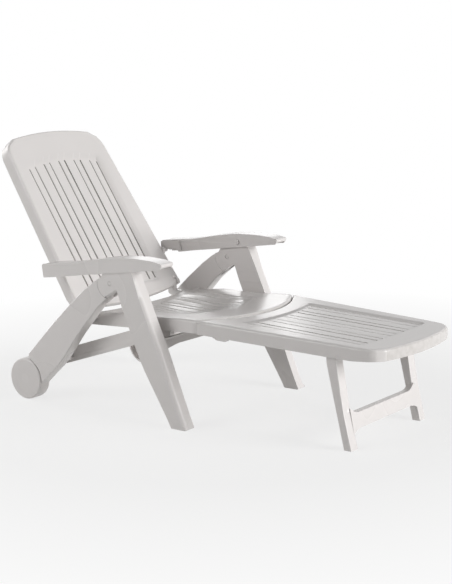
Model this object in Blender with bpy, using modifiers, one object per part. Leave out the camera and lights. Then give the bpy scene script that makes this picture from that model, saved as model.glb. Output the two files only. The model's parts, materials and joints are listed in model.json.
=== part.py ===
"""Folding resin deck chair with wheels, notched armrests and a legged footrest.

Metres, +Z up, +X towards the sitter's feet, +Y to the sitter's left.
The side view is drawn in X and Z; the last step slides the whole chair along X,
so that the origin is the middle of its footprint on the floor.
"""
import math

import bmesh
import bpy
from mathutils import Matrix, Vector

# Clearances
GAP = 0.0003            # between two faces that seat on each other
PIN_GAP = 0.0003        # between a pin and its bore, on the radius
PANEL_GAP = 0.0016      # between the seat's front lip and the footrest
SIDE_GAP = 0.0020       # between two plates that swing past each other

# Widths, measured from the middle plane outwards
OVERALL_WIDTH = 0.700   # over both armrests
ARM_WIDTH = 0.0595      # one armrest
ARM_WALL = 0.0045       # wall of the hollow armrest
ARM_OVERHANG = 0.0050   # the armrest stands proud of the leg by this
LEG_THICKNESS = 0.0455  # front and rear leg, across
CHEEK = 0.0125          # outer cheek of the front leg's fork
TONGUE = 0.0200         # rear leg's tongue inside that fork
RACK_THICKNESS = 0.0135 # notched plate inside the armrest's rear end
BACK_CLEAR = 0.0295     # from the backrest's side to the leg, where its plane passes the datum
BACK_TAPER = 0.0556     # half width lost for each metre up the backrest
SEAT_CLEAR = 0.0295     # from the seat's side wall to the leg
SEAT_FLARE = 0.0045     # the seat's lip is wider than its side walls by this
SEAT_WAIST = 0.0030     # the seat draws in beside the front legs
FOOT_DRAW_IN = 0.0405   # the footrest's far end is narrower than the seat's lip by this
EAR_SET = 0.0085        # seat's rear ears and the braces, inside the seat's side wall
EAR_THICKNESS = 0.0175
BRACE_THICKNESS = 0.0210
BEAD_STEP = 0.0025      # the brace's lower bead stands proud of its face
HINGE_ARM_SET = 0.0220  # seat's forward hinge arms, inside the seat's side wall
HINGE_ARM_THICKNESS = 0.0120
FOOT_LEG_SET = 0.0143   # footrest's leg frame, inside the footrest's wall
FOOT_LEG_THICKNESS = 0.0406
WHEEL_WIDTH = 0.0515
WHEEL_CHEEK = 0.0085    # rear leg's inner cheek that carries the axle

# Walls of the three moulded panels
SHEET = 0.0048          # sheet, skirt and rib thickness
PANEL_FILLET = 0.0090   # rounded rim between sheet and skirt
SLOT_WIDTH = 0.0050
STRIP_WIDTH = 0.0270    # narrow slat between a pair of slots
SLOT_MARGIN = 0.0360    # from the edge of a slotted field to the outermost narrow slat
FIELD_SET = 0.0740      # from a side wall to its slotted field
FOOT_FIELD_SET = 0.0380 # and at the footrest's far end
SLOT_PAIRS = 5
SLOT_RIB = 0.0120       # depth of the ribs along each slot

# Pins and bores
APEX_PIN_RADIUS = 0.0080
ARM_PIN_RADIUS = 0.0065
BACK_PIN_RADIUS = 0.0060
PEG_RADIUS = 0.0080
SEAT_PIN_RADIUS = 0.0060
BRACE_PIN_RADIUS = 0.0060
HINGE_PIN_RADIUS = 0.0050
FOOT_LEG_PIN_RADIUS = 0.0050
AXLE_RADIUS = 0.0070
PIN_HEAD = 0.0035       # thickness of a pin's head
HEAD_RIM = 0.0035       # a head is wider than its pin by this, on the radius

# Places of the pivots in the side view
APEX_X, APEX_Z = -0.0530, 0.4570
ARM_FORWARD, ARM_UP = 0.0530, 0.0610    # armrest's pin, from the apex pin
SEAT_PIN_X, SEAT_PIN_DOWN = -0.1880, 0.0320 # the next three below the seat's rim
BRACE_FRONT_BACK, BRACE_FRONT_DOWN = 0.2650, 0.0315 # and behind the seat's lip
HINGE_BACK, HINGE_DOWN = 0.0150, 0.0355
BRACE_REAR_X, BRACE_REAR_Z = -0.3230, 0.1600
FOOT_LEG_BACK, FOOT_LEG_DOWN = 0.1980, 0.0281   # behind the far end, below the rim
WHEEL_X, WHEEL_RADIUS = -0.4680, 0.0735

# Backrest: a flat panel through a datum point, leaning back
BACK_DATUM_X, BACK_DATUM_UP = -0.3777, 0.1815   # the datum above the seat's rim
BACK_RECLINE = 33.8     # degrees from vertical
BACK_TOP = 0.4730       # up the panel from the datum, on the middle plane
BACK_BOTTOM = -0.2400
BACK_ARCH = 0.4500      # the top falls by this times the distance from the middle squared
BACK_FOOT_ARCH = 0.3000 # and the lower edge rises by this times it
BACK_CORNER = 0.0550    # radius of the two upper corners
BACK_BORDER = 0.0240    # from the outline to the grid line that rounds its corners
BACK_SKIRT = 0.0450
BACK_SKIRT_LOW = 0.0250 # skirt along the lower edge
BACK_RECESS = 0.0150    # depth of the slatted field
BACK_FIELD_TOP = 0.3750
BACK_FIELD_BOTTOM = -0.1950
BACK_FIELD_ARCH = 0.6650
BACK_STEP = 0.0160      # width of the step round the backrest's field
BACK_PIVOT_UP, BACK_PIVOT_IN = -0.2030, 0.0150  # hinge, along and behind the front plane
PEG_UP, PEG_IN = -0.0750, 0.0060    # armrest peg, along and behind the front plane
PEG_BOSS_RADIUS = 0.0135

# Seat
SEAT_TOP = 0.3460       # rim height beside the sitter
SEAT_FRONT_RISE = 0.0080
SEAT_REAR_FALL = 0.0200
SEAT_WALL = 0.0480      # height of the side wall below the apex
SEAT_WALL_RISE = 0.0500 # its lower edge climbs this much for each metre forward
SEAT_FRONT = 0.3500     # front lip on the middle plane
SEAT_LIP_ARC = 0.0940   # the lip is further back by this at the side wall
SEAT_REAR = -0.1750     # rear edge on the middle plane
SEAT_REAR_ARC = 0.0500  # the rear edge is further back by this at the side wall
SEAT_DISH = 0.0200
SEAT_DISH_SET = 0.0450  # from the side wall to the dish
SEAT_DISH_X, SEAT_DISH_REACH = 0.0350, 0.2150   # its middle and its half length
SEAT_SLOT_START, SEAT_SLOT_END = 0.0630, 0.1450 # from the rear edge and the lip
SEAT_SLOT_ARC = 0.0656  # the slots end further back by this at the side wall
LIP_DEPTH = 0.0140      # skirt along the seat's lip and the footrest's rear edge
LIP_PROUD = 0.0020      # the seat's lip stands above the footrest
EAR_RADIUS = 0.0135
EAR_CLEAR = 0.0095      # room about the ear in the backrest
KNUCKLE_RADIUS = 0.0135
SIDE_STRIP = 0.0205     # border beside the side wall that hides the hinge arms
SEAT_BOSS_RADIUS = 0.0150

# Footrest
FOOT_SLOPE = 0.0367     # falls this much for each metre forward
FOOT_END = 0.9430       # far end on the middle plane
FOOT_END_ARC = 0.0350   # the far end is further back by this at the side wall
FOOT_CORNER = 0.0450
FOOT_WALL = 0.0450
FOOT_WALL_END = 0.0380  # height of the wall at the far end
FOOT_WALL_TAPER = 0.1430    # the wall starts to get lower this far from the end
FOOT_RECESS = 0.0050
FOOT_FIELD_START = 0.0660   # slotted field, from the seat's lip
FOOT_FIELD_END = 0.0950 # and from the far end
FOOT_STEP = 0.0070      # width of the step round the footrest's field
FOOT_ARC = 0.7500       # the field's near end is hollowed by this times the distance squared

# Footrest leg frame
FOOT_LEG_WIDTH = 0.0320
FOOT_LEG_REACH = 0.0620 # its foot on the floor is this far in front of its pin
CROSSBAR_LOW, CROSSBAR_HIGH = 0.0580, 0.1060
CROSSBAR_THICKNESS = 0.0220

# Front stretcher
STRETCHER_X = 0.1205
STRETCHER_WEB = 0.0050
STRETCHER_UNDER = 0.0910    # lower edge below the seat's rim
STRETCHER_FLANGE = 0.0125
STRETCHER_DROP = 0.0080 # the web's lower edge drops by this at the legs
STRETCHER_GUSSET = 0.0420   # and the end plates' by this
STRETCHER_LEAN = 0.4600 # the web runs forwards by this for each metre down

# Brace bars
BRACE_FRONT_OVER = 0.0195   # the front pin lies this far above a line from the rear pin
BRACE_HEIGHT = 0.0520
BRACE_UNDER = 0.0240    # lower edge below the rear pin
BRACE_BEAD = 0.0150
BRACE_NOSE = 0.0500     # beyond the front pin
BRACE_TAIL = 0.0240     # beyond the rear pin

# Rack of the armrest
NOTCH_PITCH = 0.0125
NOTCH_DEPTH = 0.0055
NOTCH_COUNT = 5

# Fork, tongue and wheel
APEX_LOBE = 0.0550      # radius of the fork's round end about the apex pin
TONGUE_END = 0.0220     # radius of the tongue's round end
WHEEL_CLEAR = 0.0050    # round notch of the leg about the wheel
HUB_RADIUS = 0.0150
WHEEL_RIM = 0.0060
CAP_THICKNESS = 0.0050
WHEEL_ROUND = 0.0060

# Rounding of moulded edges
LEG_FRONT_ROUND = 0.0140
LEG_EDGE_ROUND = 0.0040
ARM_ROUND = 0.0080
SMALL_ROUND = 0.0020

PIN_SIDES = 12
BORE_SIDES = 16
WHEEL_STEPS = 36

# Worked out from the sizes above
ARM_PIVOT_X, ARM_PIVOT_Z = APEX_X + ARM_FORWARD, APEX_Z + ARM_UP
SEAT_PIN_Z = SEAT_TOP - SEAT_PIN_DOWN
BRACE_FRONT_X, BRACE_FRONT_Z = SEAT_FRONT - BRACE_FRONT_BACK, SEAT_TOP - BRACE_FRONT_DOWN
BRACE_SLOPE = (BRACE_FRONT_Z - BRACE_FRONT_OVER - BRACE_REAR_Z) / (BRACE_FRONT_X - BRACE_REAR_X)
BRACE_NOSE_X = BRACE_FRONT_X + BRACE_NOSE
BRACE_TAIL_X = BRACE_REAR_X - BRACE_TAIL
HINGE_X, HINGE_Z = SEAT_FRONT - HINGE_BACK, SEAT_TOP - HINGE_DOWN
SEAT_FRONT_SIDE = SEAT_FRONT - SEAT_LIP_ARC
SEAT_REAR_SIDE = SEAT_REAR - SEAT_REAR_ARC
SEAT_WALL_LOW = SEAT_TOP - SEAT_WALL
FOOT_START_Z = SEAT_TOP + SEAT_FRONT_RISE
FOOT_END_SIDE = FOOT_END - FOOT_END_ARC
FOOT_LEG_X = FOOT_END - FOOT_LEG_BACK
FOOT_LEG_Z = FOOT_START_Z - FOOT_SLOPE * (FOOT_LEG_X - SEAT_FRONT_SIDE) - FOOT_LEG_DOWN
FOOT_LEG_TIP_X = FOOT_LEG_X + FOOT_LEG_REACH
STRETCHER_LOW = SEAT_TOP - STRETCHER_UNDER
ARM_OUTER = OVERALL_WIDTH / 2
ARM_INNER = ARM_OUTER - ARM_WIDTH
LEG_OUTER = ARM_OUTER - ARM_OVERHANG
LEG_INNER = LEG_OUTER - LEG_THICKNESS
RACK_OUTER = LEG_INNER - PANEL_GAP
RACK_INNER = RACK_OUTER - RACK_THICKNESS
WHEEL_INNER = LEG_OUTER - WHEEL_WIDTH
CHEEK_INNER = WHEEL_INNER - PANEL_GAP - WHEEL_CHEEK
SEAT_HALF_WIDTH = LEG_INNER - SEAT_CLEAR
SEAT_FRONT_HALF_WIDTH = SEAT_HALF_WIDTH + SEAT_FLARE
BACK_HALF_WIDTH = LEG_INNER - BACK_CLEAR
FOOT_END_HALF_WIDTH = SEAT_FRONT_HALF_WIDTH - FOOT_DRAW_IN
FOOT_NARROWING = FOOT_DRAW_IN / (FOOT_END_SIDE - SEAT_FRONT_SIDE)
BACK_FIELD_HALF = BACK_HALF_WIDTH - FIELD_SET
SEAT_FIELD_HALF = SEAT_HALF_WIDTH - FIELD_SET
FOOT_FIELD_HALF = FOOT_END_HALF_WIDTH - FOOT_FIELD_SET
EAR_OUTER = SEAT_HALF_WIDTH - EAR_SET
EAR_INNER = EAR_OUTER - EAR_THICKNESS
HINGE_ARM_OUTER = SEAT_HALF_WIDTH - HINGE_ARM_SET
FOOT_LEG_OUTER = (SEAT_FRONT_HALF_WIDTH - FOOT_NARROWING * (FOOT_LEG_X - SEAT_FRONT_SIDE)
                  - FOOT_LEG_SET)
BRACE_INNER = EAR_OUTER - BRACE_THICKNESS
FOOT_LEG_INNER = FOOT_LEG_OUTER - FOOT_LEG_THICKNESS
RECLINE = math.radians(BACK_RECLINE)
BACK_UP = Vector((-math.sin(RECLINE), 0, math.cos(RECLINE)))
BACK_FRONT = Vector((math.cos(RECLINE), 0, math.sin(RECLINE)))
BACK_DATUM = Vector((BACK_DATUM_X, 0, SEAT_TOP + BACK_DATUM_UP))
CORNER_CUT = 1 - math.sqrt(0.5)     # a round corner's middle lies in by this times its radius
BACK_PIVOT_X, _, BACK_PIVOT_Z = BACK_DATUM + BACK_UP * BACK_PIVOT_UP - BACK_FRONT * BACK_PIVOT_IN
BACK_CORNER_HALF = BACK_HALF_WIDTH - BACK_TAPER * (BACK_TOP - 0.050)
BACK_CORNER_START = BACK_TOP - BACK_ARCH * BACK_CORNER_HALF ** 2 - BACK_CORNER

WHITE = (0.80, 0.79, 0.77)


def start_scene():
    """Empty the scene and make the collections for the parts and the cutters."""
    for old in list(bpy.data.objects):
        bpy.data.objects.remove(old, do_unlink=True)
    groups = []
    for name in ("deck_chair", "cutters"):
        group = bpy.data.collections.new(name)
        bpy.context.scene.collection.children.link(group)
        groups.append(group)
    return groups


PARTS, CUTTERS = start_scene()


def resin(name, colour=WHITE, roughness=0.38):
    """Moulded plastic of one piece."""
    material = bpy.data.materials.new(name)
    material.use_nodes = True
    shader = material.node_tree.nodes["Principled BSDF"]
    shader.inputs["Base Color"].default_value = (*colour, 1.0)
    shader.inputs["Roughness"].default_value = roughness
    return material


def finish_part(obj, name):
    """Name a piece, give it its material and put it with the parts."""
    obj.name = name
    obj.data.name = name
    obj.data.materials.clear()
    obj.data.materials.append(resin(name))
    obj.data.shade_smooth()
    obj.data.set_sharp_from_angle(angle=math.radians(46))
    move_to(obj, PARTS)
    return obj


def move_to(obj, group):
    for old in list(obj.users_collection):
        old.objects.unlink(obj)
    group.objects.link(obj)


def as_tool(obj):
    """A cutter or a solid that is joined to a part: kept out of the model."""
    move_to(obj, CUTTERS)
    obj.hide_render = True
    obj.display_type = "WIRE"
    return obj


def boolean(obj, tool, operation):
    step = obj.modifiers.new(operation.lower(), "BOOLEAN")
    step.operation = operation
    step.solver = "EXACT"
    step.object = as_tool(tool)
    tool.parent = obj
    tool.matrix_parent_inverse = obj.matrix_basis.inverted()


def cut(obj, *tools):
    for tool in tools:
        boolean(obj, tool, "DIFFERENCE")


def join(obj, *tools):
    for tool in tools:
        boolean(obj, tool, "UNION")


def arc(x, z, radius, start, end, steps):
    """Points of a circle in the side view, angles in degrees from +X to +Z."""
    points = []
    for k in range(steps + 1):
        angle = math.radians(start + (end - start) * k / steps)
        points.append((x + radius * math.cos(angle), z + radius * math.sin(angle)))
    return points


def rounded(corners, step=22.0):
    """Outline through corners (x, z) or (x, z, radius), each radius a tangent arc."""
    points = []
    count = len(corners)
    for k, corner in enumerate(corners):
        here = Vector(corner[:2])
        radius = corner[2] if len(corner) > 2 else 0.0
        if radius == 0.0:
            points.append(tuple(here))
            continue
        before = Vector(corners[k - 1][:2]) - here
        after = Vector(corners[(k + 1) % count][:2]) - here
        bend = before.angle(after)
        reach = min(radius / math.tan(bend / 2), 0.49 * before.length, 0.49 * after.length)
        radius = reach * math.tan(bend / 2)
        before.normalize()
        after.normalize()
        centre = here + (before + after).normalized() * (radius / math.sin(bend / 2))
        first = here + before * reach - centre
        last = here + after * reach - centre
        start = math.atan2(first.y, first.x)
        turn = math.remainder(math.atan2(last.y, last.x) - start, 2 * math.pi)
        pieces = max(1, round(math.degrees(abs(turn)) / step))
        for n in range(pieces + 1):
            angle = start + turn * n / pieces
            points.append((centre.x + radius * math.cos(angle), centre.y + radius * math.sin(angle)))
    return points


def curve_object(points):
    """A flat closed curve through the points, filled on both sides."""
    data = bpy.data.curves.new("outline", "CURVE")
    data.dimensions = "2D"
    data.fill_mode = "BOTH"
    spline = data.splines.new("POLY")
    spline.points.add(len(points) - 1)
    for knot, (x, z) in zip(spline.points, points):
        knot.co = (x, z, 0, 1)
    spline.use_cyclic_u = True
    obj = bpy.data.objects.new("outline", data)
    PARTS.objects.link(obj)
    return obj


def solid_from_curve(obj):
    """The curve's evaluated solid as a mesh, with its caps welded and undivided."""
    bpy.context.view_layer.update()
    graph = bpy.context.evaluated_depsgraph_get()
    mesh = bpy.data.meshes.new_from_object(obj.evaluated_get(graph))
    place = obj.matrix_world.copy()
    bpy.data.objects.remove(obj, do_unlink=True)
    bm = bmesh.new()
    bm.from_mesh(mesh)
    bmesh.ops.remove_doubles(bm, verts=bm.verts, dist=0.00001)
    bmesh.ops.transform(bm, matrix=place, verts=bm.verts)
    bmesh.ops.dissolve_limit(bm, angle_limit=0.0005, verts=bm.verts, edges=bm.edges)
    bmesh.ops.recalc_face_normals(bm, faces=bm.faces)
    bm.to_mesh(mesh)
    bm.free()
    solid = bpy.data.objects.new("solid", mesh)
    PARTS.objects.link(solid)
    return solid


def side_solid(outline, inner, outer, side):
    """Outline of the side view, extruded between two distances from the middle."""
    obj = curve_object(outline)
    obj.data.extrude = (outer - inner) / 2
    obj.rotation_euler = (math.radians(90), 0, 0)
    obj.location = (0, side * (inner + outer) / 2, 0)
    return solid_from_curve(obj)


def round_faces(obj, width, segments, weight):
    """Round the edges between a side face and the rim, as the weight says."""
    bm = bmesh.new()
    bm.from_mesh(obj.data)
    layer = bm.edges.layers.float.new("bevel_weight_edge")
    limits = [vert.co.y for vert in bm.verts]
    for edge in bm.edges:
        first, second = edge.verts
        level = abs(first.co.y - second.co.y) < 0.00001
        on_face = min(abs(first.co.y - min(limits)), abs(first.co.y - max(limits))) < 0.00001
        if level and on_face:
            edge[layer] = weight((first.co + second.co) / 2)
    bm.to_mesh(obj.data)
    bm.free()
    bevel = obj.modifiers.new("rounding", "BEVEL")
    bevel.limit_method = "WEIGHT"
    bevel.width = width
    bevel.segments = segments
    bevel.use_clamp_overlap = True


def turned(profile, x, z, side, steps):
    """Turned solid about a cross axis: profile of (radius, distance from the middle)."""
    mesh = bpy.data.meshes.new("turned")
    bm = bmesh.new()
    ring = profile[0] == profile[-1]
    verts = [bm.verts.new((radius, 0, reach)) for radius, reach in (profile[1:] if ring else profile)]
    if ring:
        verts.append(verts[0])
    for first, second in zip(verts, verts[1:]):
        bm.edges.new((first, second))
    bm.to_mesh(mesh)
    bm.free()
    obj = bpy.data.objects.new("turned", mesh)
    PARTS.objects.link(obj)
    screw = obj.modifiers.new("turn", "SCREW")
    screw.steps = steps
    screw.render_steps = steps
    screw.use_merge_vertices = True
    screw.merge_threshold = 0.0001
    obj.rotation_euler = (math.radians(-90 * side), 0, 0)
    obj.location = (x, 0, z)
    return obj


def rod(x, z, side, radius, inner, outer, steps=BORE_SIDES):
    """Plain round bar across the chair, used for bores and bosses."""
    return turned([(0, outer), (radius, outer), (radius, inner), (0, inner)], x, z, side, steps)


def headed_pin(name, x, z, side, radius, head, tip):
    """Pin with its head at one distance from the middle and its tip at another."""
    ease = radius * 0.15
    wide = radius + HEAD_RIM
    if head > tip:
        under = head - PIN_HEAD
        profile = [(0, head), (wide - ease, head), (wide, head - ease), (wide, under),
                   (radius, under), (radius, tip + ease), (radius - ease, tip), (0, tip)]
    else:
        under = head + PIN_HEAD
        profile = [(0, tip), (radius - ease, tip), (radius, tip - ease), (radius, under),
                   (wide, under), (wide, head + ease), (wide - ease, head), (0, head)]
    return finish_part(turned(profile, x, z, side, PIN_SIDES), name)


def plain_pin(name, x, z, side, radius, inner, outer):
    """Headless pin with eased ends."""
    ease = radius * 0.15
    profile = [(0, outer), (radius - ease, outer), (radius, outer - ease),
               (radius, inner + ease), (radius - ease, inner), (0, inner)]
    return finish_part(turned(profile, x, z, side, PIN_SIDES), name)


def hand(side):
    return "left" if side > 0 else "right"


def smooth(t):
    """Zero to one with a soft start and end."""
    t = min(1.0, max(0.0, t))
    return t * t * (3 - 2 * t)


# Front legs and what they carry

# Each leg point: forwards from the apex, height as a share of the apex's, radius
FRONT_OF_LEG = [(0.315, 0.0, 0.004), (0.295, 0.0985, 0.06), (0.210, 0.5558, 0.3), (0.168, 0.7549, 0.3),
                (0.133, 0.9278, 0.3), (0.102, 1.0700, 0.03)]
REAR_OF_LEG = [(0.055, 0.8162, 0.3), (0.081, 0.6871, 0.3), (0.098, 0.6018, 0.2), (0.133, 0.4289, 0.3),
               (0.236, 0.0678, 0.04), (0.253, 0.0, 0.003)]


def leg_points(table):
    """Corners of a leg in the side view."""
    return [(APEX_X + forward, APEX_Z * share, radius) for forward, share, radius in table]


def front_leg(side):
    """Leg with a forked head that holds the rear leg's tongue and the armrest."""
    head = [(ARM_PIVOT_X + 0.032, ARM_PIVOT_Z + 0.004, 0.008),
            (ARM_PIVOT_X + 0.016, ARM_PIVOT_Z + 0.0175, 0.012),
            (ARM_PIVOT_X - 0.020, ARM_PIVOT_Z + 0.0165, 0.012),
            (APEX_X + 0.008, APEX_Z + 0.050, 0.02), (APEX_X - 0.030, APEX_Z + 0.030, 0.01),
            (APEX_X - 0.041, APEX_Z + 0.014, 0.01)]
    lobe = arc(APEX_X, APEX_Z, APEX_LOBE, 169, 256, 6)
    crotch = [(APEX_X + 0.032, APEX_Z - 0.022, 0.003), (APEX_X + 0.038, APEX_Z - 0.037, 0.05)]
    outline = rounded(leg_points(FRONT_OF_LEG) + head + lobe + crotch + leg_points(REAR_OF_LEG))
    leg = side_solid(outline, LEG_INNER, LEG_OUTER, side)

    def weight(middle):
        front = middle.x > 0.040 + (0.500 - middle.z) * 0.30
        return 1.0 if front and middle.z > 0.004 else 0.28
    round_faces(leg, LEG_FRONT_ROUND, 3, weight)
    slot_inner = LEG_OUTER - CHEEK - TONGUE - 2 * GAP
    fan = arc(APEX_X, APEX_Z, APEX_LOBE + 4 * GAP, 124, 325, 12)
    fan += arc(APEX_X, APEX_Z, TONGUE_END + 4 * GAP, -35, 124, 8)
    cut(leg, side_solid(fan, slot_inner, LEG_OUTER - CHEEK, side))
    cut(leg, rod(APEX_X, APEX_Z, side, APEX_PIN_RADIUS + PIN_GAP, LEG_INNER - 0.01, LEG_OUTER + 0.01))
    cut(leg, rod(ARM_PIVOT_X, ARM_PIVOT_Z, side, ARM_PIN_RADIUS + PIN_GAP,
                 LEG_INNER - 0.01, LEG_OUTER + 0.01))
    return finish_part(leg, "front_leg_" + hand(side))


def stretcher():
    """Arched cross member between the front legs, on which the braces rest."""
    top = brace_low(STRETCHER_X - STRETCHER_WEB / 2) - GAP
    half = LEG_INNER - GAP
    lean = STRETCHER_LEAN
    arch = [(half, top, 0.0), (half, STRETCHER_LOW - STRETCHER_DROP, 0.0),
            (half - 0.010, STRETCHER_LOW - STRETCHER_DROP, 0.004),
            (half - 0.075, STRETCHER_LOW, 0.12)]
    outline = rounded(arch + [(-y, z, r) for y, z, r in reversed(arch)])
    plate = curve_object(outline)
    plate.data.extrude = STRETCHER_WEB / 2
    plate.rotation_euler = (math.radians(90), 0, math.radians(90))
    web = solid_from_curve(plate)
    shear = Matrix.Identity(4)
    shear[0][2] = -lean
    web.data.transform(shear)
    web.data.transform(Matrix.Translation((STRETCHER_X + lean * top, 0, 0)))
    rear = STRETCHER_X - STRETCHER_WEB / 2
    flange = [(rear, top), (rear, top - STRETCHER_WEB), (rear + STRETCHER_FLANGE, top - STRETCHER_WEB),
              (rear + STRETCHER_FLANGE, top)]
    bar = side_solid(flange, -half, half, 1)
    join(web, bar)
    for side in (1, -1):
        low = STRETCHER_LOW - STRETCHER_GUSSET
        slope = lean * (top - low)
        end = rounded([(rear, top - SMALL_ROUND), (rear + slope, low, 0.004),
                       (rear + slope + 0.014, low, 0.004), (rear + 0.014, top - SMALL_ROUND)])
        join(web, side_solid(end, half - 0.006, half, side))
    return finish_part(web, "front_stretcher")


# Rear legs, wheels and braces

UPPER_OF_REAR = [(-0.099, 0.9628, 0.3), (-0.186, 0.8031, 0.4), (-0.275, 0.6236, 0.6)]
LOWER_OF_REAR = [(-0.240, 0.3326, 0.3), (-0.160, 0.5602, 0.3), (-0.111, 0.6827, 0.3),
                 (-0.045, 0.8381, 0.3)]


def rear_leg(side):
    """Curved leg with a tongue at its upper end and an axle cheek at its lower end."""
    shoulder = APEX_LOBE + 2 * GAP
    seam = arc(APEX_X, APEX_Z, shoulder, 255, 170, 6)
    notch = [(WHEEL_X + 0.014, WHEEL_RADIUS * 2 + 0.013, 0.012), (WHEEL_X + 0.057, WHEEL_RADIUS + 0.0525)]
    notch += arc(WHEEL_X, WHEEL_RADIUS, WHEEL_RADIUS + WHEEL_CLEAR, 38, -6, 5)
    notch += [(WHEEL_X + 0.115, WHEEL_RADIUS + 0.0255, 0.2)]
    outline = rounded(seam + leg_points(UPPER_OF_REAR) + notch + leg_points(LOWER_OF_REAR))
    leg = side_solid(outline, LEG_INNER, LEG_OUTER, side)
    round_faces(leg, LEG_EDGE_ROUND, 2, lambda middle: 1.0)
    tongue = arc(APEX_X, APEX_Z, TONGUE_END, -95, 115, 9)
    tongue += [seam[-1], (seam[-1][0] - 0.020, seam[-1][1] - 0.018),
               (seam[0][0] - 0.020, seam[0][1] - 0.018), seam[0]]
    outer = LEG_OUTER - CHEEK - GAP
    join(leg, side_solid(tongue, outer - TONGUE, outer, side))
    hub = arc(WHEEL_X, WHEEL_RADIUS, 0.024, 130, 330, 8)
    cheek = hub + [(WHEEL_X + dx, WHEEL_RADIUS + dz) for dx, dz in
                   ((0.096, 0.0305), (0.116, 0.0665), (0.096, 0.1065), (0.038, 0.0865))]
    join(leg, side_solid(cheek, CHEEK_INNER, WHEEL_INNER - PANEL_GAP, side))
    pad = [(WHEEL_X + dx, WHEEL_RADIUS + dz) for dx, dz in
           ((0.092, 0.0345), (0.116, 0.0665), (0.096, 0.1065), (0.066, 0.0865), (0.080, 0.0565))]
    join(leg, side_solid(pad, CHEEK_INNER + SMALL_ROUND, LEG_INNER + 0.004, side))
    cut(leg, rod(APEX_X, APEX_Z, side, APEX_PIN_RADIUS + PIN_GAP, LEG_INNER, LEG_OUTER))
    cut(leg, rod(WHEEL_X, WHEEL_RADIUS, side, AXLE_RADIUS + PIN_GAP, CHEEK_INNER - 0.01, WHEEL_INNER))
    cut(leg, rod(SEAT_PIN_X, SEAT_PIN_Z, side, SEAT_PIN_RADIUS + PIN_GAP,
                 LEG_INNER - 0.01, LEG_INNER + 0.020))
    cut(leg, rod(BRACE_REAR_X, BRACE_REAR_Z, side, BRACE_PIN_RADIUS + PIN_GAP,
                 LEG_INNER - 0.01, LEG_INNER + 0.020))
    return finish_part(leg, "rear_leg_" + hand(side))


def wheel(side):
    """Hollow wheel: tread, web and hub turned in one piece, and its snap-on cap."""
    inner = WHEEL_INNER
    outer = LEG_OUTER - CAP_THICKNESS - GAP
    middle = (inner + outer) / 2
    tread = WHEEL_RADIUS
    web = SHEET / 2
    bore = AXLE_RADIUS + PIN_GAP
    profile = [(bore, outer - 0.004), (HUB_RADIUS, outer - 0.004), (HUB_RADIUS, middle + web),
               (tread - WHEEL_RIM, middle + web), (tread - WHEEL_RIM, outer), (tread, outer),
               (tread, inner + WHEEL_ROUND), (tread - WHEEL_ROUND * 0.3, inner + WHEEL_ROUND * 0.3),
               (tread - WHEEL_ROUND, inner), (tread - WHEEL_RIM - WHEEL_ROUND / 2, inner),
               (tread - WHEEL_RIM - WHEEL_ROUND / 2, middle - web), (HUB_RADIUS, middle - web),
               (HUB_RADIUS, inner), (bore, inner), (bore, outer - 0.004)]
    body = turned(profile, WHEEL_X, WHEEL_RADIUS, side, WHEEL_STEPS)
    finish_part(body, "wheel_" + hand(side))
    low = outer + GAP
    face = [(0, LEG_OUTER - 0.0012), (0.016, LEG_OUTER), (tread - WHEEL_ROUND, LEG_OUTER),
            (tread - WHEEL_ROUND * 0.3, LEG_OUTER - WHEEL_ROUND * 0.3), (tread, LEG_OUTER - WHEEL_ROUND * 0.7),
            (tread, low), (tread - WHEEL_RIM - GAP, low), (tread - WHEEL_RIM - GAP, low - 0.003),
            (tread - WHEEL_RIM - 0.004, low - 0.003), (tread - WHEEL_RIM - 0.004, low), (0, low)]
    cap = turned(face, WHEEL_X, WHEEL_RADIUS, side, WHEEL_STEPS)
    finish_part(cap, "wheel_cap_" + hand(side))
    headed_pin("wheel_axle_" + hand(side), WHEEL_X, WHEEL_RADIUS, side, AXLE_RADIUS,
               CHEEK_INNER - GAP - PIN_HEAD, outer - 0.006)


def brace_low(x):
    """Height of the brace's lower edge."""
    return BRACE_REAR_Z - BRACE_UNDER + (x - BRACE_REAR_X) * BRACE_SLOPE


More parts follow.
